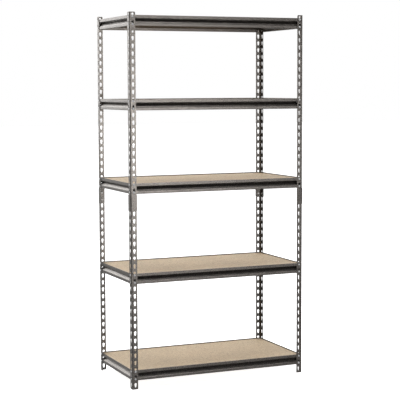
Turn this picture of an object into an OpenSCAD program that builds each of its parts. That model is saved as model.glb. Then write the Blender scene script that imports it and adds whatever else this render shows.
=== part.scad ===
// Boltless steel shelving: five levels of particle board carried by folded steel
// beams, whose rivets drop into the keyholes of four slotted angle posts.
// Each post is two halves that butt at mid height behind an outside coupler.
// X runs across the width, Y from front to back, Z up. The origin is on the floor
// under the middle of the unit. All sizes are in millimetres.

/* [Unit] */
// Height of the posts above the floor
unit_h = 1828.8; // [1600:0.1:2000]
// Width over the posts
unit_w = 930; // [700:1:1200]
// Depth over the posts
unit_d = 480; // [350:1:600]

/* [Posts] */
// Width of each leg of an angle post
post_leg = 30; // [29:0.5:34]
// Steel thickness of the posts
post_t = 1.8; // [1.5:0.1:2.2]
// Outside radius of the bend down the corner of a post
post_bend_r = 4; // [2.5:0.1:4.2]
// Radius of the free corners at the ends of a post half
post_corner_r = 5; // [2:0.5:6]

/* [Keyholes] */
// Number of keyholes up each leg of a post half
keys_per_half = 25; // [24:1:26]
// Diameter of a keyhole's wide round top
key_wide_d = 11.6; // [11:0.1:12.4]
// Diameter of a keyhole's narrow seat
key_seat_d = 7.6; // [7.3:0.1:8]
// Height of the wide top's centre above the seat's
key_drop = 12; // [11:0.5:13]
// Height of the first seat above the end of a post half
key_first = 14; // [12:0.5:15]
// Distance from the post's corner to the line of keyholes
key_inset = 16.5; // [15:0.5:17.5]

/* [Levels] */
// Keyhole, counted from the floor, of the lower rivets on level 1
level_1_key = 2; // [1:1:4]
// Keyhole of the lower rivets on level 2
level_2_key = 15; // [12:1:18]
// Keyhole of the lower rivets on level 3, above the coupler
level_3_key = 27; // [27:1:31]
// Keyhole of the lower rivets on level 4
level_4_key = 38; // [35:1:41]
// Keyhole of the lower rivets on level 5
level_5_key = 49; // [45:1:49]

/* [Beams] */
// Steel thickness of the beams
beam_t = 1.5; // [1.2:0.1:1.6]
// Distance from each rivet to the nearer edge of the beam
beam_edge = 7.7; // [7.2:0.1:9]
// Height of the upper band outside the deck
beam_lip_h = 16; // [15:0.5:18]
// Height of the lower band
beam_nose_h = 14.5; // [14:0.5:17]
// How far the ledge reaches in under the deck
beam_ledge_w = 20; // [14:0.5:24]
// How far the bottom edge turns inwards
beam_return_w = 8; // [6:0.5:12]
// How far a beam's two flat bands reach past the mitre of its folds, at each end
beam_band_end = 2; // [1.5:0.5:5]

/* [Decks] */
// Thickness of the deck boards
deck_t = 10; // [9:0.5:12.5]
// Gap all round a deck board, inside the beams' upper bands
deck_gap = 2; // [1.8:0.1:3]

/* [Fasteners] */
// Diameter of the rivets' and studs' shanks
shank_d = 7; // [6.6:0.1:7.1]
// Diameter of their heads
head_d = 10.4; // [9.6:0.1:10.6]
// Height of the domed rivet heads
head_h = 2.2; // [1.6:0.1:2.6]

/* [Couplers] */
// Height of a coupler
coupler_h = 80; // [76:1:82]
// Steel thickness of a coupler
coupler_t = 2; // [1.6:0.1:2.2]
// How far a coupler's edges stand past the post's
coupler_lap = 1.5; // [0.5:0.5:3]

/* [Hidden] */
$fn = 32;
half_h = unit_h / 2;
key_pitch = half_h / keys_per_half;
level_keys = [level_1_key, level_2_key, level_3_key, level_4_key, level_5_key];
levels = [1 : len(level_keys)];
beam_h = key_pitch + 2 * beam_edge;

fit_gap = 0.15;        // play between a head and the steel under it
hole_play = 0.1;       // play of a shank in its own hole
rest_gap = 0.05;       // play under a deck on its ledges
end_gap = 1;           // play between two beams that meet in a post
tail_d = 8.8;          // formed tail of a rivet, behind the beam
tail_h = 1;
stud_head_h = 1.6;     // flat head of a coupler's stud
fold_r = 2;            // centreline radius of the beams' tight folds
nose_fold_r = 6;       // and of the fold at the top of the lower band
fold_steps = 6;        // flats round each fold
band_foot = 3.5;       // height up to which the mitre cuts the return
cut = 1;               // how far a cutter runs past what it cuts

STEEL = "#6e6f70";
STEEL_LIGHT = "#7d7e7f";
ZINC = "#b9bcbf";
BOARD = "#c2a98c";

// Each corner's name, then the sides of X and Y it is on
CORNERS = [["front_left", -1, -1], ["front_right", 1, -1], ["rear_left", -1, 1], ["rear_right", 1, 1]];
HALVES = ["lower", "upper"];
SIDES = ["front", "rear", "left", "right"];

// ---- Places ----

// Bottom edge of the beams on level k
function beam_z(k) = key_pitch * (level_keys[k - 1] - 1) + key_first - beam_edge;

// Puts what is drawn for the corner at the origin, legs along +X and +Y, at a corner of the unit
module at_corner(side_x, side_y) {
    translate([side_x * unit_w / 2, side_y * unit_d / 2, 0])
        mirror([max(side_x, 0), 0, 0])
            mirror([0, max(side_y, 0), 0])
                children();
}

// Draws its children for the leg along +X, then again for the leg along +Y
module on_both_legs() {
    children();
    mirror([1, -1, 0])
        children();
}

// ---- Posts ----

// A square with its corner at the origin rounded
module corner_square(size, r) {
    translate([r, r])
        circle(r);
    translate([r, 0])
        square([size - r, size]);
    translate([0, r])
        square([size, size - r]);
}

// Angle section with its outside corner at the origin
module angle_section(leg, t, bend_r) {
    difference() {
        corner_square(leg, bend_r);
        translate([t, t])
            corner_square(leg, bend_r - t);
    }
}

// What rounds the free corner of a plate at [edge, z]: to_z is 1 at a plate's top, -1 at its foot
module free_corner_cut(edge, z, to_z, r, t) {
    translate([edge - r, t + cut, z - to_z * r])
        rotate([90, 0, 0])
            linear_extrude(t + 2 * cut)
                difference() {
                    translate([0, to_z > 0 ? 0 : -2 * r])
                        square(2 * r);
                    circle(r);
                }
}

// A keyhole's outline: a wide round top tapering down to the seat at the origin
module keyhole_outline() {
    wide_r = key_wide_d / 2;
    seat_r = key_seat_d / 2;
    lean = asin((wide_r - seat_r) / key_drop);
    circle(seat_r);
    translate([0, key_drop])
        circle(wide_r);
    polygon([
        [seat_r * cos(lean), -seat_r * sin(lean)],
        [wide_r * cos(lean), key_drop - wide_r * sin(lean)],
        [-wide_r * cos(lean), key_drop - wide_r * sin(lean)],
        [-seat_r * cos(lean), -seat_r * sin(lean)]
    ]);
}

// The column of keyholes through the leg along +X
module keyhole_column() {
    for (i = [0 : keys_per_half - 1])
        translate([key_inset, post_t + cut, key_first + i * key_pitch])
            rotate([90, 0, 0])
                linear_extrude(post_t + 2 * cut)
                    keyhole_outline();
}

// One half of a post, standing on the floor
module post_half() {
    color(STEEL)
        difference() {
            linear_extrude(half_h)
                angle_section(post_leg, post_t, post_bend_r);
            on_both_legs() {
                keyhole_column();
                free_corner_cut(post_leg, 0, -1, post_corner_r, post_t);
                free_corner_cut(post_leg, half_h, 1, post_corner_r, post_t);
            }
        }
}

// ---- Couplers ----

// The plate over a post's joint, outside the post
module coupler() {
    coupler_leg = post_leg + coupler_t + coupler_lap;
    color(STEEL_LIGHT)
        translate([-coupler_t, -coupler_t, half_h - coupler_h / 2])
            difference() {
                linear_extrude(coupler_h)
                    angle_section(coupler_leg, coupler_t, post_bend_r + coupler_t);
                on_both_legs() {
                    free_corner_cut(coupler_leg, 0, -1, post_corner_r, coupler_t);
                    free_corner_cut(coupler_leg, coupler_h, 1, post_corner_r, coupler_t);
                }
            }
}

// A stud on the inner face of a coupler, its head inside the post
module stud() {
    rotate([-90, 0, 0]) {
        cylinder(d = shank_d, h = post_t + fit_gap);
        translate([0, 0, post_t + fit_gap])
            cylinder(d1 = head_d, d2 = head_d - stud_head_h, h = stud_head_h);
    }
}

// A coupler's four studs: the top keyhole of the lower half and the bottom one of the upper half, on each leg
module coupler_studs() {
    color(ZINC)
        on_both_legs()
            for (step = [-1, 0])
                translate([key_inset, 0, half_h + key_first + step * key_pitch])
                    stud();
}

// ---- Beams ----

// Unit normal to the left of the way from a to b
function left_of(a, b) = [a.y - b.y, b.x - a.x] / norm(b - a);

// The arc that rounds the corner b between a and c to radius r, as points
function fold(a, b, c, r) =
    let (
        n1 = left_of(a, b),
        n2 = left_of(b, c),
        turn = sign(n1 * [c.x - b.x, c.y - b.y]),
        centre = b + turn * r * (n1 + n2) / (1 + n1 * n2),
        from = -turn * n1,
        to = -turn * n2,
        sweep = acos(n1 * n2)
    )
    [for (i = [0 : fold_steps])
        let (w = i / fold_steps)
        centre + r * (sin((1 - w) * sweep) * from + sin(w * sweep) * to) / sin(sweep)];

// A path shifted sideways by d, with mitred corners
function shifted(path, d) =
    [for (i = [0 : len(path) - 1])
        let (
            n1 = left_of(path[max(i - 1, 0)], path[max(i, 1)]),
            n2 = left_of(path[min(i, len(path) - 2)], path[min(i + 1, len(path) - 1)])
        )
        path[i] + d * (n1 + n2) / (1 + n1 * n2)];

// Outline of a folded sheet of thickness t along a centreline
function sheet_outline(path, t) =
    let (right = shifted(path, -t / 2))
    concat(shifted(path, t / 2), [for (i = [len(right) - 1 : -1 : 0]) right[i]]);

// Centreline of the beam's section: X is inwards from the outer face, Y is up from the bottom edge
function beam_centreline() =
    let (
        near = beam_t / 2,
        ledge_y = beam_h - beam_lip_h + near,
        rim = [near, beam_h],
        lip_foot = [near, ledge_y],
        ledge_end = [near + beam_ledge_w, ledge_y],
        nose_top = [near, beam_nose_h],
        nose_foot = [near, near],
        return_end = [near + beam_return_w, near]
    )
    concat(
        [rim],
        fold(rim, lip_foot, ledge_end, fold_r),
        fold(lip_foot, ledge_end, nose_top, fold_r),
        fold(ledge_end, nose_top, nose_foot, nose_fold_r),
        fold(nose_top, nose_foot, return_end, fold_r),
        [return_end]
    );

// Mitres the ledge, web and return at one end of a beam, so that two beams can meet in a corner.
// The two flat bands keep their full length: end_x is where they end.
module beam_end_cut(end_x) {
    depth = beam_ledge_w + 4 * beam_t;
    web_foot = beam_nose_h - fold_r;
    web_top = beam_h - beam_lip_h + beam_t + fold_r;
    for (z = [[-cut, band_foot], [web_foot, web_top]])
        translate([end_x - beam_band_end, 0, z[0]])
            linear_extrude(z[1] - z[0])
                polygon([[cut, -cut], [beam_band_end + cut, -cut], [beam_band_end + cut, depth], [-depth, depth]]);
}

// A beam for a side of the unit that measures span over the posts: its outer face is at y = 0,
// its bottom edge at z = 0, and its middle at x = 0
module beam(span) {
    length = span - 2 * (post_t + beam_t + end_gap);
    color(STEEL)
        difference() {
            rotate([90, 0, 90])
                linear_extrude(length, center = true)
                    polygon(sheet_outline(beam_centreline(), beam_t));
            for (end = [0, 1])
                mirror([end, 0, 0]) {
                    beam_end_cut(length / 2);
                    for (step = [0, 1])
                        translate([span / 2 - key_inset, -cut, beam_edge + step * key_pitch])
                            rotate([-90, 0, 0])
                                cylinder(d = shank_d + hole_play, h = beam_t + 2 * cut);
                }
        }
}

// Puts what is drawn for a beam, front face at y = 0, against the inside of the posts on one side
module on_side(side) {
    if (side == "front" || side == "rear")
        mirror([0, side == "rear" ? 1 : 0, 0])
            translate([0, post_t - unit_d / 2, 0])
                children();
    else
        mirror([side == "right" ? 1 : 0, 0, 0])
            translate([post_t - unit_w / 2, 0, 0])
                rotate([0, 0, -90])
                    children();
}

// Length over the posts of the side that a beam runs along
function side_span(side) = side == "front" || side == "rear" ? unit_w : unit_d;

// ---- Decks ----

// The deck board of a level, on the ledges of its four beams
module deck(k) {
    edge = post_t + beam_t + deck_gap;
    ledge_top = beam_h - beam_lip_h + beam_t;
    color(BOARD)
        translate([edge - unit_w / 2, edge - unit_d / 2, beam_z(k) + ledge_top + rest_gap])
            cube([unit_w - 2 * edge, unit_d - 2 * edge, deck_t]);
}

// ---- Rivets ----

// A rivet headed over in the beam: its shank runs along +Y from the dome outside
// the post, through the keyhole and the beam, to the tail behind it. The beam's outer face is at y = 0.
module rivet() {
    dome_r = (head_h * head_h + head_d * head_d / 4) / (2 * head_h);
    under_head = post_t + fit_gap;
    rotate([-90, 0, 0]) {
        intersection() {
            translate([0, 0, dome_r - under_head - head_h])
                sphere(dome_r);
            translate([0, 0, -under_head - head_h - cut])
                cylinder(d = 2 * dome_r, h = head_h + cut);
        }
        translate([0, 0, -under_head])
            cylinder(d = shank_d, h = under_head + beam_t);
        translate([0, 0, beam_t])
            cylinder(d = tail_d, h = tail_h);
    }
}

// All the rivets of a level: two at each end of each of its beams
module level_rivets(k) {
    color(ZINC)
        translate([0, 0, beam_z(k) + beam_edge])
            for (side = SIDES)
                on_side(side)
                    for (end = [-1, 1])
                        for (step = [0, 1])
                            translate([end * (side_span(side) / 2 - key_inset), 0, step * key_pitch])
                                rivet();
}

// ---- Assembly ----

for (c = CORNERS) {
    for (h = [0, 1])
        at_corner(c[1], c[2]) translate([0, 0, h * half_h]) post_half();
    at_corner(c[1], c[2]) coupler();
    at_corner(c[1], c[2]) coupler_studs();
}
for (k = levels) {
    for (s = SIDES)
        translate([0, 0, beam_z(k)]) on_side(s) beam(side_span(s));
    deck(k);
    level_rivets(k);
}
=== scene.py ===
# %% [markdown]
# # Boltless steel shelving
# Five levels of particle board lie on folded steel beams. The beams hang by rivets in
# the keyholes of four slotted angle posts, and each post is two halves joined by a
# splice plate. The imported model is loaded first, as a fixed frame: it already has every
# piece at its real size and place. What follows gives each piece the finish and the
# softened edges of the real one, without moving anything.

# %% Load the frame
import math

import bmesh
import bpy
from mathutils import Matrix, Vector


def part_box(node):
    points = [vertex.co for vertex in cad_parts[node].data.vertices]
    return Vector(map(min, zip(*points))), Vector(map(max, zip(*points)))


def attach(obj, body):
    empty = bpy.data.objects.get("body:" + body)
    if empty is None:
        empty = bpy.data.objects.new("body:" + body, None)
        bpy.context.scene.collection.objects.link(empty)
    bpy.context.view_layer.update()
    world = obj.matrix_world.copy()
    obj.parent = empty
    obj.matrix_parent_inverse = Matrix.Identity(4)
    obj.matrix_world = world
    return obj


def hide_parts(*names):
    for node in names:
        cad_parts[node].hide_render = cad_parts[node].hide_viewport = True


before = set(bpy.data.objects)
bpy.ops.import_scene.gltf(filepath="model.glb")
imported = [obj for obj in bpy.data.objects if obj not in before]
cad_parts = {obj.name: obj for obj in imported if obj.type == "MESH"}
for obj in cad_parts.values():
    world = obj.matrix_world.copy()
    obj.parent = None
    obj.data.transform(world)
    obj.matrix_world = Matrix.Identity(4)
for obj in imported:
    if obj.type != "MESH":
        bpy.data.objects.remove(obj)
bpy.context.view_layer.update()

MM = 0.001

# %% [markdown]
# ## The camera
# The unit is seen from a little left of its front, from about shoulder height. A long lens
# stands well back, so the uprights stay nearly parallel, and the camera is tipped down
# a few degrees instead of being shifted, so that it frames other views as well.

# %% Place the camera
EYE = Vector((-2.5219, -5.8677, 1.4682))
TURN_RIGHT_DEG = 23.26
TIP_DOWN_DEG = 5.153
LEAN_DEG = -0.225
camera_data = bpy.data.cameras.new("camera")
camera_data.lens = 112.35
camera_data.clip_end = 100
camera = bpy.data.objects.new("camera", camera_data)
camera.location = EYE
camera.rotation_euler = (
    Matrix.Rotation(math.radians(-TURN_RIGHT_DEG), 3, "Z")
    @ Matrix.Rotation(math.radians(90 - TIP_DOWN_DEG), 3, "X")
    @ Matrix.Rotation(math.radians(LEAN_DEG), 3, "Z")
).to_euler()
bpy.context.scene.collection.objects.link(camera)
bpy.context.scene.camera = camera
print("camera to the middle of the unit, m:", round((EYE - Vector((0, 0, 0.9))).length, 2))

# %% [markdown]
# ## Sizes that the frame gives
# A piece that is rebuilt has to fit its neighbours to a tenth of a millimetre, so its
# sizes are not typed in again where the frame can give them. The box of one post half
# gives the leg width, the outside faces and half the height. The step from a post's
# face to a beam's face is the post's steel, and the step out to a splice plate is the
# plate's steel. Only what no box can show, such as a radius or a hole, is named here.

# %% Measure the frame
post_low, post_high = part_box("post_front_left_lower")
beam_low, beam_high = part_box("beam_1_front")
plate_low, plate_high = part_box("coupler_front_left")
side_beam_low, side_beam_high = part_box("beam_1_left")
half_height = post_high.z
unit_width = -2 * post_low.x
unit_depth = -2 * post_low.y
leg = post_high.x - post_low.x
post_steel = beam_low.y - post_low.y
plate_steel = post_low.x - plate_low.x
plate_leg = plate_high.x - plate_low.x
plate_height = plate_high.z - plate_low.z
beam_height = beam_high.z - beam_low.z
levels = sorted(int(name.split("_")[1]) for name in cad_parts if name.startswith("deck_"))
beam_foot = {level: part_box(f"beam_{level}_front")[0].z for level in levels}
print("unit, mm:", round(unit_width / MM, 2), round(unit_depth / MM, 2), round(2 * half_height / MM, 2))
print("steel, mm:", round(post_steel / MM, 2), round(plate_steel / MM, 2), "levels", levels)

# %% Name the sizes that no box can show
KEYS_PER_HALF = 25
KEY_WIDE_R = 5.8 * MM
KEY_SEAT_R = 3.8 * MM
KEY_DROP = 12 * MM
KEY_FIRST = 14 * MM
KEY_INSET = 16.5 * MM
POST_BEND_R = 4 * MM
FREE_CORNER_R = 5 * MM
PANEL_ACROSS = 5
PANEL_UP = 7
KEY_STEPS = 2 * (PANEL_ACROSS + PANEL_UP)
BEND_STEPS = 8
CORNER_STEPS = 6
key_pitch = half_height / KEYS_PER_HALF
TINY = 0.001 * MM
print("keyhole pitch, mm:", round(key_pitch / MM, 3))

# %% [markdown]
# ## Silver vein paint
# The steel is powder coated in a finish that the trade calls silver vein: a dark base
# coat that draws back as it cures, so that metallic silver gathers in small islands with
# dark lines between them. It could be painted on as a picture, but it has to run over
# every fold and through every hole without a seam, so it is a solid pattern in the
# object's own coordinates. A Voronoi texture that measures the distance to the edge of
# each cell gives the islands, and a little noise pushes the cells out of shape first.
# Very fine noise varies the gloss as metal flake does, and the islands stand up a little.

# %% Helpers for materials
def new_material(name):
    """A new material: its node tree, its shader node and the material itself."""
    material = bpy.data.materials.new(name)
    material.use_nodes = True
    return material.node_tree, material.node_tree.nodes["Principled BSDF"], material


def add(tree, kind, **values):
    """Adds a node and sets its sockets by name, or its settings where no socket has that name."""
    made = tree.nodes.new(kind)
    for key, value in values.items():
        name = key.replace("_", " ")
        if name in made.inputs:
            made.inputs[name].default_value = value
        else:
            setattr(made, key, value)
    return made


def ramp_between(tree, factor, stops):
    """A colour ramp over the factor: stops are pairs of a place from 0 to 1 and a colour."""
    ramp = tree.nodes.new("ShaderNodeValToRGB")
    elements = ramp.color_ramp.elements
    while len(elements) < len(stops):
        elements.new(0.5)
    for element, (place, colour) in zip(elements, stops):
        element.position = place
        element.color = (*colour, 1)
    tree.links.new(factor, ramp.inputs["Fac"])
    return ramp.outputs["Color"]


def spread(tree, factor, low, high):
    """Turns a factor from 0 to 1 into a value from low to high."""
    scaled = add(tree, "ShaderNodeMapRange", To_Min=low, To_Max=high)
    tree.links.new(factor, scaled.inputs["Value"])
    return scaled.outputs["Result"]


def pushed_place(tree, place, noise_scale, reach):
    """The place moved about by noise, up to about half of reach each way."""
    noise = add(tree, "ShaderNodeTexNoise", Scale=noise_scale, Detail=2.0)
    tree.links.new(place, noise.inputs["Vector"])
    push = add(tree, "ShaderNodeVectorMath", operation="MULTIPLY_ADD")
    push.inputs[1].default_value = (reach, reach, reach)
    tree.links.new(noise.outputs["Color"], push.inputs[0])
    tree.links.new(place, push.inputs[2])
    return push.outputs["Vector"]


# %% Mix the silver vein paint
def mix_paint(name, base, silver, island, roughness):
    """Silver islands of about the given size in a dark base."""
    tree, shader, material = new_material(name)
    place = add(tree, "ShaderNodeTexCoord").outputs["Object"]
    bent = pushed_place(tree, place, 0.5 / island, 0.9 * island)
    cells = add(tree, "ShaderNodeTexVoronoi", feature="DISTANCE_TO_EDGE", Scale=1 / island)
    tree.links.new(bent, cells.inputs["Vector"])
    vein = ramp_between(tree, cells.outputs["Distance"], [(0.02, base), (0.2, silver)])

    clouds = add(tree, "ShaderNodeTexNoise", Scale=14.0, Detail=3.0)
    tree.links.new(place, clouds.inputs["Vector"])
    shade = spread(tree, clouds.outputs["Fac"], 0.86, 1.14)
    tone = add(tree, "ShaderNodeVectorMath", operation="SCALE")
    tree.links.new(vein, tone.inputs[0])
    tree.links.new(shade, tone.inputs["Scale"])
    tree.links.new(tone.outputs["Vector"], shader.inputs["Base Color"])

    flake = add(tree, "ShaderNodeTexNoise", Scale=2600.0, Detail=1.0)
    tree.links.new(place, flake.inputs["Vector"])
    gloss = spread(tree, flake.outputs["Fac"], roughness - 0.1, roughness + 0.1)
    tree.links.new(gloss, shader.inputs["Roughness"])
    bump = add(tree, "ShaderNodeBump", Strength=0.35, Distance=0.12 * MM)
    tree.links.new(cells.outputs["Distance"], bump.inputs["Height"])
    tree.links.new(bump.outputs["Normal"], shader.inputs["Normal"])
    shader.inputs["Metallic"].default_value = 0.88
    print(name, "islands of", round(island / MM, 1), "mm")
    return material


ISLAND = 2.0 * MM
paint = mix_paint("silver_vein_paint", (0.023, 0.021, 0.02), (0.295, 0.27, 0.248), ISLAND, 0.36)
# A lighter copy of the paint for the bevel faces of every edge: a painted highlight.
edge_highlight_paint = mix_paint("silver_vein_painted_edge_highlight", (0.052, 0.05, 0.048), (0.41, 0.39, 0.365), ISLAND, 0.34)

# %% [markdown]
# ## From a sheet to a piece of steel
# Every steel part here starts as flat strip, so each is modelled as one skin with no
# thickness, as a sheet-metal worker would draw it. A Solidify modifier gives the skin
# its steel, and a Bevel modifier takes the sharpness off every cut edge. The bevel has
# a lighter material of its own, a painted highlight along every edge. Modelling both faces by hand
# would work, but then each hole and fold would have to be kept in step twice.

# %% Helpers for pieces
SHARP = math.radians(40)
STEEL_EDGE = 0.2 * MM


def make_piece(bm, name, materials, body, replaced):
    """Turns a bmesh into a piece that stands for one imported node."""
    mesh = bpy.data.meshes.new(name)
    bm.to_mesh(mesh)
    bm.free()
    mesh.shade_smooth()
    for material in materials:
        mesh.materials.append(material)
    piece = bpy.data.objects.new(name, mesh)
    bpy.context.scene.collection.objects.link(piece)
    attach(piece, body)
    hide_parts(replaced)
    return piece


def give_edges(piece, width, edge_material=0):
    """Breaks every edge sharper than a fold's own facets."""
    edges = piece.modifiers.new("broken_edges", "BEVEL")
    edges.width = width
    edges.segments = 2
    edges.limit_method = "ANGLE"
    edges.angle_limit = SHARP
    edges.harden_normals = True
    edges.material = edge_material
    return piece


def give_steel(piece, thickness, offset):
    """Gives a skin its thickness: offset -1 lays it behind the skin, 0 to both sides."""
    steel = piece.modifiers.new("steel", "SOLIDIFY")
    steel.thickness = thickness
    steel.offset = offset
    steel.use_even_offset = True
    # The bevel faces take material 1, the lighter edge paint: a painted highlight along each edge.
    return give_edges(piece, STEEL_EDGE, edge_material=1)


def whole(bm):
    """Everything in a bmesh, as the operators ask for it."""
    return bm.verts[:] + bm.edges[:] + bm.faces[:]


def lay_at(bm, matrix):
    """Moves the whole bmesh. A mirroring matrix turns a skin inside out, so it is turned back."""
    bmesh.ops.transform(bm, matrix=matrix, verts=bm.verts)
    if matrix.determinant() < 0:
        bmesh.ops.reverse_faces(bm, faces=bm.faces)


def worst_gap(piece, node):
    """Largest distance between the box of a piece and the box of the node it stands for, in mm."""
    made = piece.evaluated_get(bpy.context.evaluated_depsgraph_get()).data
    low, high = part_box(node)
    places = [vertex.co for vertex in made.vertices]
    gaps = [abs(min(p[i] for p in places) - low[i]) for i in range(3)]
    gaps += [abs(max(p[i] for p in places) - high[i]) for i in range(3)]
    return round(max(gaps) / MM, 3)


# %% [markdown]
# ## Slotted angle posts
# A post half is a strip punched with a keyhole every inch and a half or so, and bent
# once down the middle. Cutting 50 holes with booleans leaves long thin triangles that
# catch the light badly. Here one keyhole and the steel round it make a small panel: a
# ring of vertices is bridged to the rim of a grid that has as many. A spin with no angle
# and a step of one pitch then stamps it up the strip, as the punch does.
#
# The teardrop is the outline round two circles. Each vertex of a plain circle simply
# goes to whichever circle reaches further in its direction, and the straight flanks
# appear by themselves where that choice changes.

# %% One keyhole and the steel round it
def keyhole_panel(bm):
    """A flat panel one pitch high, from the bend to the free edge of a leg, with its hole."""
    bmesh.ops.create_grid(bm, x_segments=PANEL_ACROSS, y_segments=PANEL_UP, size=0.5)
    inner = [vertex for vertex in bm.verts if not vertex.is_boundary]
    bmesh.ops.delete(bm, geom=inner, context="VERTS")
    bmesh.ops.scale(bm, vec=(leg - POST_BEND_R, key_pitch, 1), verts=bm.verts)
    bmesh.ops.translate(bm, vec=((leg + POST_BEND_R) / 2, key_pitch / 2, 0), verts=bm.verts)
    ring = bmesh.ops.create_circle(bm, segments=KEY_STEPS, radius=1.0)["verts"]
    for vertex in ring:
        direction = vertex.co.copy()
        if KEY_DROP * direction.y + KEY_WIDE_R > KEY_SEAT_R:
            vertex.co = direction * KEY_WIDE_R + Vector((0, KEY_DROP, 0))
        else:
            vertex.co = direction * KEY_SEAT_R
    bmesh.ops.translate(bm, vec=(KEY_INSET, KEY_FIRST, 0), verts=ring)
    bmesh.ops.bridge_loops(bm, edges=bm.edges[:])


# %% Stand a leg up and round its free corners
def stand_up(bm):
    """Turns what lies flat in XY to stand in XZ, facing -Y."""
    bmesh.ops.rotate(bm, matrix=Matrix.Rotation(math.pi / 2, 3, "X"), verts=bm.verts)


def round_free_corners(bm, edge_x, foot_z, top_z):
    """Rounds the two outer corners of a leg, once any inner edge that ends there is dissolved."""
    def outer_corners():
        return [v for v in bm.verts if v.is_boundary and abs(v.co.x - edge_x) < TINY
                and min(abs(v.co.z - foot_z), abs(v.co.z - top_z)) < TINY]
    inner_edges = [e for v in outer_corners() for e in v.link_edges if not e.is_boundary]
    bmesh.ops.dissolve_edges(bm, edges=inner_edges)
    bmesh.ops.bevel(bm, geom=outer_corners(), offset=FREE_CORNER_R, offset_type="OFFSET",
                    affect="VERTICES", segments=CORNER_STEPS, profile=0.5, material=-1)


# %% Bend a leg round the corner
SWAP_LEGS = Matrix(((0, 1, 0, 0), (1, 0, 0, 0), (0, 0, 1, 0), (0, 0, 0, 1)))


def bend_to_angle(bm, bend_r):
    """Adds the bend along a leg's inner edge, and the second leg along +Y."""
    inner_edge = [e for e in bm.edges if e.is_boundary
                  and all(abs(v.co.x - bend_r) < TINY for v in e.verts)]
    second = bmesh.ops.duplicate(bm, geom=whole(bm))["geom"]
    second_verts = [g for g in second if isinstance(g, bmesh.types.BMVert)]
    bmesh.ops.transform(bm, matrix=SWAP_LEGS, verts=second_verts)
    bmesh.ops.spin(bm, geom=inner_edge, cent=(bend_r, bend_r, 0), axis=(0, 0, 1),
                   angle=-math.pi / 2, steps=BEND_STEPS)
    bmesh.ops.remove_doubles(bm, verts=bm.verts, dist=TINY)
    bmesh.ops.recalc_face_normals(bm, faces=bm.faces)
    front = min(bm.faces, key=lambda face: face.calc_center_median().y)
    if front.normal.y > 0:
        bmesh.ops.reverse_faces(bm, faces=bm.faces)


# %% Punch, stamp and bend one post half
def post_skin():
    """The outside face of a post half, its corner at the origin and its legs along +X and +Y."""
    bm = bmesh.new()
    keyhole_panel(bm)
    bmesh.ops.spin(bm, geom=whole(bm), cent=(0, 0, 0), axis=(0, 0, 1), dvec=(0, key_pitch, 0),
                   angle=0, steps=KEYS_PER_HALF - 1, use_duplicate=True)
    bmesh.ops.remove_doubles(bm, verts=bm.verts, dist=TINY)
    stand_up(bm)
    round_free_corners(bm, leg, 0, half_height)
    bend_to_angle(bm, POST_BEND_R)
    return bm


# %% Stand the eight post halves at the corners
CORNERS = {"front_left": (-1, -1), "front_right": (1, -1), "rear_left": (-1, 1), "rear_right": (1, 1)}


def corner_matrix(side_x, side_y, z):
    """Takes what is made with its corner at the origin to one corner of the unit."""
    place = Matrix.Translation((side_x * unit_width / 2, side_y * unit_depth / 2, z))
    return place @ Matrix.Diagonal((-side_x, -side_y, 1, 1))


for corner, (side_x, side_y) in CORNERS.items():
    for half, foot in (("lower", 0), ("upper", half_height)):
        node = f"post_{corner}_{half}"
        skin = post_skin()
        lay_at(skin, corner_matrix(side_x, side_y, foot))
        post = make_piece(skin, f"slotted_{node}", [paint, edge_highlight_paint], "frame", node)
        give_steel(post, post_steel, -1)
        print(post.name, "off by at most", worst_gap(post, node), "mm")

# %% [markdown]
# ## Splice plates and their studs
# Where the two halves of a post butt together, a short angle plate covers the joint
# from outside. Four studs with flat heads are welded inside it and drop into the
# keyholes above and below the joint. The plate is bent by the same function as the
# posts, from a single face with two rounded corners.

# %% Bend the splice plates
def plate_skin():
    """The outside face of a splice plate, which lies outside the post it is made round."""
    bend_r = POST_BEND_R + plate_steel
    bm = bmesh.new()
    bmesh.ops.create_grid(bm, x_segments=1, y_segments=1, size=0.5)
    bmesh.ops.scale(bm, vec=(plate_leg - bend_r, plate_height, 1), verts=bm.verts)
    bmesh.ops.translate(bm, vec=((plate_leg + bend_r) / 2, plate_height / 2, 0), verts=bm.verts)
    stand_up(bm)
    round_free_corners(bm, plate_leg, 0, plate_height)
    bend_to_angle(bm, bend_r)
    bmesh.ops.translate(bm, vec=(-plate_steel, -plate_steel, 0), verts=bm.verts)
    return bm


for corner, (side_x, side_y) in CORNERS.items():
    skin = plate_skin()
    lay_at(skin, corner_matrix(side_x, side_y, plate_low.z))
    plate = make_piece(skin, f"splice_plate_{corner}", [paint, edge_highlight_paint],
                       "frame", f"coupler_{corner}")
    give_steel(plate, plate_steel, -1)
    print(plate.name, "off by at most", worst_gap(plate, f"coupler_{corner}"), "mm")

# %% [markdown]
# ## Zinc plate
# Rivets and studs are cold-headed steel with a thin bright zinc coat. Zinc grows as
# small crystals that each catch the light differently, and handling leaves it a little
# cloudy, so the tone changes from crystal to crystal and the gloss changes in patches.

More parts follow.
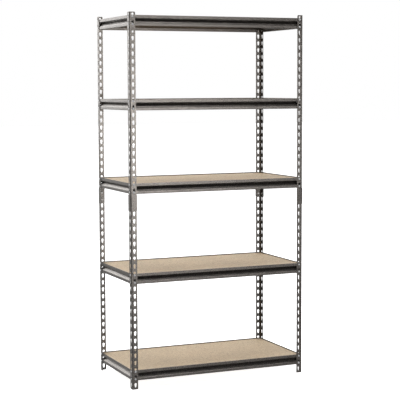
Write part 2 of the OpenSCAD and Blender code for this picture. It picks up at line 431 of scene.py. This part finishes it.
# %% Mix the zinc
def mix_zinc(name):
    """Bright zinc in small crystals, a little hazed."""
    tree, shader, material = new_material(name)
    place = add(tree, "ShaderNodeTexCoord").outputs["Object"]
    crystals = add(tree, "ShaderNodeTexVoronoi", Scale=1 / (1.6 * MM))
    tree.links.new(place, crystals.inputs["Vector"])
    grey = add(tree, "ShaderNodeSeparateColor")
    tree.links.new(crystals.outputs["Color"], grey.inputs["Color"])
    tone = ramp_between(tree, grey.outputs["Red"], [(0, (0.82, 0.83, 0.84)), (1, (0.95, 0.95, 0.95))])
    tree.links.new(tone, shader.inputs["Base Color"])
    haze = add(tree, "ShaderNodeTexNoise", Scale=420.0, Detail=3.0)
    tree.links.new(place, haze.inputs["Vector"])
    tree.links.new(spread(tree, haze.outputs["Fac"], 0.45, 0.65), shader.inputs["Roughness"])
    bump = add(tree, "ShaderNodeBump", Strength=0.2, Distance=0.03 * MM)
    tree.links.new(haze.outputs["Fac"], bump.inputs["Height"])
    tree.links.new(bump.outputs["Normal"], shader.inputs["Normal"])
    shader.inputs["Metallic"].default_value = 0.6
    print(name, "mixed")
    return material


zinc = mix_zinc("zinc_plate")

# %% [markdown]
# ## Turned shapes
# A rivet is round about its own axis, so half of its outline is drawn as a wire and
# spun once round. The dome could be typed in as points, but spinning a single vertex
# about the centre of the dome draws the same arc exactly.

# %% Helpers for turned shapes
ROUND_STEPS = 20


def draw_wire(bm, outline):
    """Joins the points of an outline, each a radius and a height, and returns the vertices."""
    made = [bm.verts.new((radius, 0, height)) for radius, height in outline]
    for start, end in zip(made, made[1:]):
        bm.edges.new((start, end))
    return made


def soften(bm, vertex, width):
    """Rounds one corner of a wire, and so an edge of what is turned from it."""
    bmesh.ops.bevel(bm, geom=[vertex], offset=width, offset_type="OFFSET",
                    affect="VERTICES", segments=2, profile=0.5, material=-1)


def turn(bm):
    """Spins the wire round Z into a closed solid and points its axis along +Y."""
    bmesh.ops.spin(bm, geom=bm.verts[:] + bm.edges[:], cent=(0, 0, 0), axis=(0, 0, 1),
                   angle=2 * math.pi, steps=ROUND_STEPS, use_merge=True)
    bmesh.ops.remove_doubles(bm, verts=bm.verts, dist=TINY)
    bmesh.ops.recalc_face_normals(bm, faces=bm.faces)
    bmesh.ops.rotate(bm, matrix=Matrix.Rotation(-math.pi / 2, 3, "X"), verts=bm.verts)


def copies(pattern, matrices):
    """One bmesh with a copy of the pattern at each matrix."""
    stamp = bpy.data.meshes.new("stamp")
    group = bmesh.new()
    for matrix in matrices:
        one = pattern.copy()
        lay_at(one, matrix)
        one.to_mesh(stamp)
        group.from_mesh(stamp)
        one.free()
    bpy.data.meshes.remove(stamp)
    pattern.free()
    return group


# %% Turn a stud and weld four in each splice plate
SHANK_R = 3.5 * MM
HEAD_R = 5.2 * MM
HEAD_PLAY = 0.15 * MM
STUD_HEAD_H = 1.6 * MM
STUD_ROUND = 0.3 * MM
RIM_ROUND = 0.2 * MM
under_head = post_steel + HEAD_PLAY


def turned_stud():
    """A stud: its foot on the plate at the origin, its flat head inside the post."""
    bm = bmesh.new()
    top = under_head + STUD_HEAD_H
    wire = draw_wire(bm, [(0, 0), (SHANK_R, 0), (SHANK_R, under_head), (HEAD_R, under_head),
                          (HEAD_R - STUD_HEAD_H / 2, top), (0, top)])
    soften(bm, wire[4], STUD_ROUND)
    soften(bm, wire[3], RIM_ROUND)
    turn(bm)
    return bm


def stud_places(side_x, side_y):
    """One stud a pitch below and one above, on each leg."""
    at_post = corner_matrix(side_x, side_y, half_height + KEY_FIRST)
    steps = [Matrix.Translation((KEY_INSET, 0, step * key_pitch)) for step in (-1, 0)]
    return [at_post @ on_leg @ step for on_leg in (Matrix.Identity(4), SWAP_LEGS) for step in steps]


for corner, (side_x, side_y) in CORNERS.items():
    node = f"coupler_studs_{corner}"
    group = copies(turned_stud(), stud_places(side_x, side_y))
    studs = make_piece(group, f"splice_studs_{corner}", [zinc], "frame", node)
    studs.data.set_sharp_from_angle(angle=SHARP)
    print(studs.name, "off by at most", worst_gap(studs, node), "mm")

# %% [markdown]
# ## Folded beams
# A beam is one strip folded four times. From the top: a flat band that shows outside,
# a ledge that the board lies on, a sloping web that comes back out to the lower band,
# and a narrow return. The groove between the bands helps to keep the beam stiff. At
# each end the folds are mitred, so that two beams can meet in a corner, and the two
# flat bands run on to take the rivets.
#
# The outline is a wire in the beam's own cross-section. At each corner the wire runs
# straight to where the fold begins, and then one vertex is spun round the fold's centre,
# which is what a press brake does to the strip. The wire is drawn out to half a beam,
# cut, punched and mirrored, so both ends are sure to be alike. A loop of edges is cut
# free round each rivet's hole first, so that only a small square is bridged to its rim.

# %% Fold a strip as a wire
FOLD_STEPS = 6


def fold_wire(bm, outline, radii):
    """Draws a strip's centreline through the outline, rounding each inner corner to its radius."""
    points = [Vector((0, inwards, up)) for inwards, up in outline]
    tip = bm.verts.new(points[0])
    for before, corner, after, radius in zip(points, points[1:], points[2:], radii):
        way_in = (corner - before).normalized()
        way_out = (after - corner).normalized()
        axis = way_in.cross(way_out).normalized()
        angle = way_in.angle(way_out)
        start = corner - way_in * radius * math.tan(angle / 2)
        tip = run_to(bm, tip, start)
        centre = start + axis.cross(way_in) * radius
        made = bmesh.ops.spin(bm, geom=[tip], cent=centre, axis=axis, angle=angle, steps=FOLD_STEPS)
        tip = [g for g in made["geom_last"] if isinstance(g, bmesh.types.BMVert)][0]
    run_to(bm, tip, points[-1])


def run_to(bm, tip, place):
    """Runs the wire straight on from its tip to a place, and returns the new tip."""
    made = bmesh.ops.extrude_vert_indiv(bm, verts=[tip])["verts"][0]
    made.co = place
    return made


# %% Name the beam's folds and end cuts
BEAM_STEEL = 1.5 * MM
BEAM_EDGE = (beam_height - key_pitch) / 2
UPPER_BAND = 16 * MM
LOWER_BAND = 14.5 * MM
LEDGE = 20 * MM
RETURN = 8 * MM
FOLD_R = 2 * MM
NOSE_FOLD_R = 6 * MM
BAND_END = 2 * MM
BAND_FOOT = 3.5 * MM
RIVET_HOLE_R = 3.55 * MM
HOLE_MARGIN = 0.55 * MM
HOLE_STEPS = 16
half_steel = BEAM_STEEL / 2
ledge_up = beam_height - UPPER_BAND + half_steel
FOLDS = [(half_steel, beam_height), (half_steel, ledge_up), (half_steel + LEDGE, ledge_up),
         (half_steel, LOWER_BAND), (half_steel, half_steel), (half_steel + RETURN, half_steel)]
groove_foot = LOWER_BAND - FOLD_R
groove_top = beam_height - UPPER_BAND + BEAM_STEEL + FOLD_R
print("rivet to beam edge, mm:", round(BEAM_EDGE / MM, 2), "groove from", round(groove_foot / MM, 1))


# %% Cut the end of a beam
def slit(bm, faces, place, normal):
    """Cuts faces along a plane without taking anything away."""
    geom = faces + list({e for f in faces for e in f.edges}) + list({v for f in faces for v in f.verts})
    bmesh.ops.bisect_plane(bm, geom=geom, dist=TINY, plane_co=place, plane_no=normal)


def mitre(bm, from_x, foot, top):
    """Takes away the steel past a mitre that starts at from_x outside, between two heights."""
    slit(bm, bm.faces[:], (from_x, 0, 0), (1, 1, 0))
    for height in (foot, top):
        slit(bm, bm.faces[:], (0, 0, height), (0, 0, 1))
    gone = []
    for face in bm.faces:
        middle = face.calc_center_median()
        if middle.x + middle.y > from_x and foot < middle.z < top:
            gone.append(face)
    bmesh.ops.delete(bm, geom=gone, context="FACES")


def band_faces(bm, z):
    """The faces of the flat band round the height z."""
    middles = [(face, face.calc_center_median()) for face in bm.faces]
    return [face for face, middle in middles
            if abs(middle.y - half_steel) < TINY and abs(middle.z - z) < key_pitch / 3]


def punch(bm, x, z, radius):
    """Punches a round hole in a band: a square round it is cut free and bridged to a ring."""
    reach = radius + HOLE_MARGIN
    for normal, middle in (((1, 0, 0), x), ((0, 0, 1), z)):
        for side in (-reach, reach):
            slit(bm, band_faces(bm, z), Vector(normal) * (middle + side), normal)
    hole = Vector((x, half_steel, z))
    square = min(bm.faces, key=lambda face: (face.calc_center_median() - hole).length)
    sides = square.edges[:]
    bmesh.ops.delete(bm, geom=[square], context="FACES_ONLY")
    split = bmesh.ops.subdivide_edges(bm, edges=sides, cuts=HOLE_STEPS // 4 - 1)["geom_inner"]
    rim = {v for e in sides for v in e.verts}
    for made in split:
        rim.update(made.verts if isinstance(made, bmesh.types.BMEdge) else [made])
    loop = [e for e in bm.edges if all(v in rim for v in e.verts)]
    ring = bmesh.ops.create_circle(bm, segments=HOLE_STEPS, radius=radius)["verts"]
    bmesh.ops.rotate(bm, matrix=Matrix.Rotation(math.pi / 2, 3, "X"), verts=ring)
    bmesh.ops.translate(bm, vec=hole, verts=ring)
    loop += list({e for v in ring for e in v.link_edges})
    bmesh.ops.bridge_loops(bm, edges=loop)


# %% Fold, cut and mirror one beam
def beam_skin(span, length):
    """The middle of the steel of a beam of the given length, between posts the span apart outside.
    The beam's outer face is at y = 0, its foot at z = 0 and its middle at x = 0."""
    bm = bmesh.new()
    fold_wire(bm, FOLDS, [FOLD_R, FOLD_R, NOSE_FOLD_R, FOLD_R])
    drawn = bmesh.ops.extrude_edge_only(bm, edges=bm.edges[:])["geom"]
    moved = [g for g in drawn if isinstance(g, bmesh.types.BMVert)]
    bmesh.ops.translate(bm, vec=(length / 2, 0, 0), verts=moved)
    mitre(bm, length / 2 - BAND_END, groove_foot, groove_top)
    mitre(bm, length / 2 - BAND_END, -BEAM_STEEL, BAND_FOOT)
    for step in (0, 1):
        punch(bm, span / 2 - KEY_INSET, BEAM_EDGE + step * key_pitch, RIVET_HOLE_R)
    bmesh.ops.mirror(bm, geom=whole(bm), axis="X", merge_dist=TINY)
    bmesh.ops.remove_doubles(bm, verts=bm.verts, dist=TINY)
    bmesh.ops.recalc_face_normals(bm, faces=bm.faces)
    return bm


# %% Hang the twenty beams
def side_matrix(side, foot):
    """Takes what is made for a beam, outer face at y = 0, to the inside of the posts on one side."""
    if side in ("front", "rear"):
        place = Matrix.Translation((0, post_steel - unit_depth / 2, foot))
        return Matrix.Diagonal((1, -1 if side == "rear" else 1, 1, 1)) @ place
    place = Matrix.Translation((post_steel - unit_width / 2, 0, foot))
    turned = place @ Matrix.Rotation(-math.pi / 2, 4, "Z")
    return Matrix.Diagonal((-1 if side == "right" else 1, 1, 1, 1)) @ turned


across = (unit_width, beam_high.x - beam_low.x)
along = (unit_depth, side_beam_high.y - side_beam_low.y)
spans = {"front": across, "rear": across, "left": along, "right": along}
for level in levels:
    gaps = []
    for side in spans:
        node = f"beam_{level}_{side}"
        skin = beam_skin(*spans[side])
        lay_at(skin, side_matrix(side, beam_foot[level]))
        beam = make_piece(skin, f"folded_{node}", [paint, edge_highlight_paint], "frame", node)
        give_steel(beam, BEAM_STEEL, 0)
        gaps.append(worst_gap(beam, node))
    print("level", level, "beams off by at most", max(gaps), "mm")

# %% [markdown]
# ## Rivets
# Each beam end has two domed rivets. Their heads stand outside the post and their
# shanks sit in the narrow seats of two keyholes, so the weight on the shelf wedges the
# beam tight. All sixteen of a level are one group of separate solids.

# %% Turn a rivet and set them at every beam end
HEAD_H = 2.2 * MM
TAIL_R = 4.4 * MM
TAIL_H = 1 * MM
TAIL_ROUND = 0.4 * MM
DOME_STEPS = 5


def turned_rivet():
    """A rivet through post and beam: the beam's outer face is at y = 0 and the dome outside."""
    bm = bmesh.new()
    end = BEAM_STEEL + TAIL_H
    wire = draw_wire(bm, [(0, end), (TAIL_R, end), (TAIL_R, BEAM_STEEL), (SHANK_R, BEAM_STEEL),
                          (SHANK_R, -under_head), (HEAD_R, -under_head)])
    dome_r = (HEAD_H ** 2 + HEAD_R ** 2) / (2 * HEAD_H)
    dome_centre = (0, 0, dome_r - HEAD_H - under_head)
    bmesh.ops.spin(bm, geom=[wire[-1]], cent=dome_centre, axis=(0, 1, 0),
                   angle=math.asin(HEAD_R / dome_r), steps=DOME_STEPS)
    soften(bm, wire[1], TAIL_ROUND)
    soften(bm, wire[-1], RIM_ROUND)
    turn(bm)
    return bm


for level in levels:
    node = f"rivets_{level}"
    places = [
        side_matrix(side, beam_foot[level] + BEAM_EDGE + step * key_pitch)
        @ Matrix.Translation((end * (spans[side][0] / 2 - KEY_INSET), 0, 0))
        for side in spans for end in (-1, 1) for step in (0, 1)
    ]
    group = copies(turned_rivet(), places)
    rivets = make_piece(group, f"domed_{node}", [zinc], "frame", node)
    rivets.data.set_sharp_from_angle(angle=SHARP)
    print(rivets.name, len(places), "off by at most", worst_gap(rivets, node), "mm")

# %% [markdown]
# ## Particle board
# The decks are raw particle board: wood chips of many tones pressed flat with resin,
# fine at the two faces and coarse in the core. A picture of it would repeat on five
# boards. Two layers of Voronoi cells give the chips, coarser ones stretched along the
# board and finer ones across it. Noise bends both, and each board shifts the pattern, so
# no two are alike.

# %% Mix the board
def mix_board(name, shift):
    """Pressed wood chips of many tones, from a place in the pattern that shift gives."""
    tree, shader, material = new_material(name)
    place = add(tree, "ShaderNodeTexCoord").outputs["Object"]
    slide = add(tree, "ShaderNodeMapping")
    slide.inputs["Location"].default_value = shift
    tree.links.new(place, slide.inputs["Vector"])
    bent = pushed_place(tree, slide.outputs["Vector"], 60.0, 12 * MM)

    tones = []
    for chip, stretch in ((3.2 * MM, (0.45, 1.0, 1.0)), (1.3 * MM, (1.0, 0.5, 1.0))):
        laid = add(tree, "ShaderNodeMapping")
        laid.inputs["Scale"].default_value = stretch
        tree.links.new(bent, laid.inputs["Vector"])
        chips = add(tree, "ShaderNodeTexVoronoi", Scale=1 / chip)
        tree.links.new(laid.outputs["Vector"], chips.inputs["Vector"])
        grey = add(tree, "ShaderNodeSeparateColor")
        tree.links.new(chips.outputs["Color"], grey.inputs["Color"])
        tones.append(grey.outputs["Red"])
    blend = add(tree, "ShaderNodeMix", data_type="FLOAT", Factor=0.45)
    tree.links.new(tones[0], blend.inputs["A"])
    tree.links.new(tones[1], blend.inputs["B"])
    wood = ramp_between(tree, blend.outputs["Result"], [
        (0.05, (0.37, 0.25, 0.14)), (0.3, (0.62, 0.47, 0.30)),
        (0.7, (0.74, 0.585, 0.395)), (0.95, (0.87, 0.74, 0.54))])

    clouds = add(tree, "ShaderNodeTexNoise", Scale=5.0, Detail=3.0)
    tree.links.new(slide.outputs["Vector"], clouds.inputs["Vector"])
    shade = add(tree, "ShaderNodeVectorMath", operation="SCALE")
    tree.links.new(wood, shade.inputs[0])
    tree.links.new(spread(tree, clouds.outputs["Fac"], 0.88, 1.12), shade.inputs["Scale"])
    tree.links.new(shade.outputs["Vector"], shader.inputs["Base Color"])

    bump = add(tree, "ShaderNodeBump", Strength=0.5, Distance=0.15 * MM)
    tree.links.new(blend.outputs["Result"], bump.inputs["Height"])
    tree.links.new(bump.outputs["Normal"], shader.inputs["Normal"])
    tree.links.new(spread(tree, tones[1], 0.62, 0.8), shader.inputs["Roughness"])
    print(name, "mixed")
    return material


# %% Saw the five boards
BOARD_EDGE = 0.5 * MM

for level in levels:
    node = f"deck_{level}"
    low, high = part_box(node)
    bm = bmesh.new()
    bmesh.ops.create_cube(bm, size=1.0)
    bmesh.ops.scale(bm, vec=high - low, verts=bm.verts)
    bmesh.ops.translate(bm, vec=(low + high) / 2, verts=bm.verts)
    chips = mix_board(f"particle_board_{level}", (0.37 * level, 0.61 * level, 0))
    board = make_piece(bm, f"shelf_board_{level}", [chips], f"board_{level}", node)
    give_edges(board, BOARD_EDGE)
    print(board.name, "off by at most", worst_gap(board, node), "mm")

# %% [markdown]
# ## The studio
# The unit stands on a pale floor that glows a little by itself, as a shadowless table
# does, so only a faint shadow is left under it. The wall behind is bright and the side
# the camera stands on is dim, which leaves the grooves of the beams nearly black. A band
# of the room below the horizon glows as a lit floor further off would, and the steel
# mirrors it when it is looked down on. One soft box in front, to the right, lights the
# front faces between knee and eye height. One behind on the left edges the side faces,
# one lights the right side, and two from above light the boards. The dim gap between
# front and side draws a dark line down the bend of each post.

# %% Lay the floor
FLOOR_REACH = 40
bm = bmesh.new()
bmesh.ops.create_grid(bm, x_segments=1, y_segments=1, size=FLOOR_REACH)
floor_mesh = bpy.data.meshes.new("floor")
bm.to_mesh(floor_mesh)
bm.free()
floor = bpy.data.objects.new("floor", floor_mesh)
bpy.context.scene.collection.objects.link(floor)
tree, shader, pale = new_material("pale_floor")
shader.inputs["Base Color"].default_value = (0.9, 0.9, 0.9, 1)
shader.inputs["Roughness"].default_value = 0.9
shader.inputs["Specular IOR Level"].default_value = 0.0
shader.inputs["Emission Color"].default_value = (1, 1, 1, 1)
shader.inputs["Emission Strength"].default_value = 0.88
floor_mesh.materials.append(pale)
floor.visible_diffuse = False
floor.visible_glossy = False

# %% Set the room's own light
BEHIND_GLOW = 1.6
CAMERA_SIDE_GLOW = 0.13
BELOW_GLOW = 0.2
FAR_FLOOR_GLOW = 0.75
room = bpy.data.worlds.new("studio_room")
bpy.context.scene.world = room
room.use_nodes = True
room_tree = room.node_tree
towards = add(room_tree, "ShaderNodeSeparateXYZ")
place = add(room_tree, "ShaderNodeTexCoord").outputs["Generated"]
room_tree.links.new(place, towards.inputs["Vector"])


def fade(axis, start, end, low, high):
    """A strength that changes smoothly along one direction of the room."""
    step = add(room_tree, "ShaderNodeMapRange", interpolation_type="SMOOTHSTEP",
               From_Min=start, From_Max=end, To_Min=low, To_Max=high)
    room_tree.links.new(towards.outputs[axis], step.inputs["Value"])
    return step.outputs["Result"]


walls = add(room_tree, "ShaderNodeMath", operation="MULTIPLY")
room_tree.links.new(fade("Y", -0.1, 0.8, CAMERA_SIDE_GLOW, BEHIND_GLOW), walls.inputs[0])
room_tree.links.new(fade("Z", -0.15, 0.1, BELOW_GLOW, 1.0), walls.inputs[1])
glow = add(room_tree, "ShaderNodeMath", operation="MULTIPLY_ADD")
room_tree.links.new(fade("Z", -0.65, -0.45, 0.0, 1.0), glow.inputs[0])
room_tree.links.new(fade("Z", -0.34, -0.2, FAR_FLOOR_GLOW, 0.0), glow.inputs[1])
room_tree.links.new(walls.outputs["Value"], glow.inputs[2])

# %% Show the room plain white to the camera
mirrored = add(room_tree, "ShaderNodeBackground")
room_tree.links.new(glow.outputs["Value"], mirrored.inputs["Strength"])
seen = room_tree.nodes["Background"]
for background in (mirrored, seen):
    background.inputs["Color"].default_value = (1, 1, 1, 1)
choose = add(room_tree, "ShaderNodeMixShader")
from_camera = add(room_tree, "ShaderNodeLightPath").outputs["Is Camera Ray"]
room_tree.links.new(from_camera, choose.inputs["Fac"])
room_tree.links.new(mirrored.outputs["Background"], choose.inputs[1])
room_tree.links.new(seen.outputs["Background"], choose.inputs[2])
room_tree.links.new(choose.outputs["Shader"], room_tree.nodes["World Output"].inputs["Surface"])


# %% Hang the soft boxes
def soft_box(name, place, size, watts):
    """A rectangular area light aimed at the middle of the unit."""
    data = bpy.data.lights.new(name, "AREA")
    data.shape = "RECTANGLE"
    data.size, data.size_y = size
    data.energy = watts
    lamp = bpy.data.objects.new(name, data)
    lamp.visible_camera = False
    lamp.location = place
    away = Vector(place) - Vector((0, 0, half_height))
    lamp.rotation_euler = away.to_track_quat("Z", "Y").to_euler()
    bpy.context.scene.collection.objects.link(lamp)


soft_box("soft_box_front_right", (1.4, -6.2, 1.1), (2.2, 1.4), 90)
soft_box("soft_box_rear_left", (-1.9, 5.4, 2.4), (2.6, 2.6), 40)
soft_box("soft_box_right", (5.6, 1.2, 1.1), (3.0, 2.0), 80)
soft_box("soft_box_overhead", (-0.3, -0.6, 4.6), (3.0, 1.6), 76)
soft_box("soft_box_over_the_back", (-0.3, 3.2, 3.6), (3.0, 1.6), 34)
bpy.context.scene.view_settings.view_transform = "Standard"
